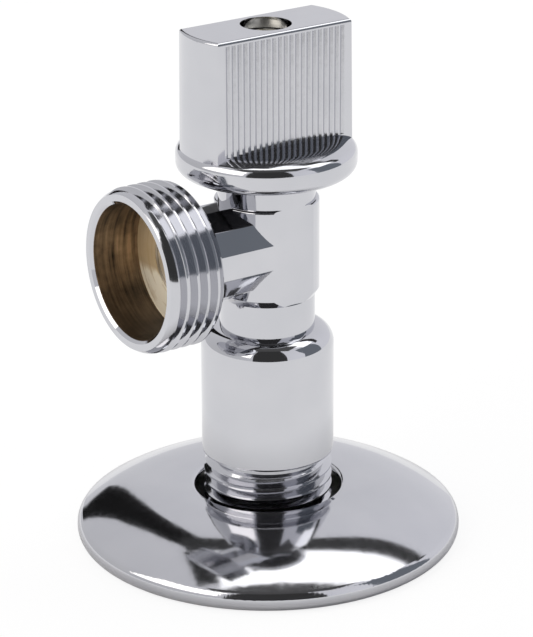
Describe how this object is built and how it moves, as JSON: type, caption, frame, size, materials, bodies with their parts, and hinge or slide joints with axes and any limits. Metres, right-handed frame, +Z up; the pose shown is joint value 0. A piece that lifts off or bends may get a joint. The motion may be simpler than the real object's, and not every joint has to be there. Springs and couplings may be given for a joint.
{
  "type": "washing machine valve",
  "caption": "Chromed quarter-turn angle valve with a threaded inlet below, a threaded side outlet for an appliance hose, a ribbed blade handle and a loose domed wall flange.",
  "frame": {"origin": "on the floor, under the axis shared by the inlet, the spindle and the flange", "axes": "+Z up along the spindle, -Y along the outlet, so the handle's blade lies along Y when the valve is open"},
  "size_m": [0.063, 0.063, 0.0861],
  "materials": {
    "chromed_brass": "polished",
    "chromed_zinc": "polished",
    "chromed_sheet": "polished",
    "chromed_ball": "polished",
    "plated_steel": "satin",
    "plain_brass": "satin",
    "soft_seat": "matte",
    "seal_rubber": "matte"
  },
  "bodies": {
    "valve": {"valve_body": "chromed_brass", "seat_retainer": "plain_brass", "outlet_seat": "soft_seat", "back_seat": "soft_seat", "stop_pin": "plated_steel"},
    "turning_gear": {"handle": "chromed_zinc", "handle_screw": "plated_steel", "stem": "plain_brass", "thrust_washer": "soft_seat", "stem_ring_lower": "seal_rubber", "stem_ring_upper": "seal_rubber", "ball": "chromed_ball"},
    "flange": {"wall_flange": "chromed_sheet"}
  },
  "joints": [
    {"name": "handle_turn", "type": "hinge", "parent": "valve", "child": "turning_gear", "pos_m": [0, 0, 0.0505], "axis": [0, 0, 1], "range_deg": [-90, 0]},
    {"name": "flange_slide", "type": "slide", "parent": "valve", "child": "flange", "axis": [0, 0, 1], "range_m": [0, 0.028]}
  ]
}
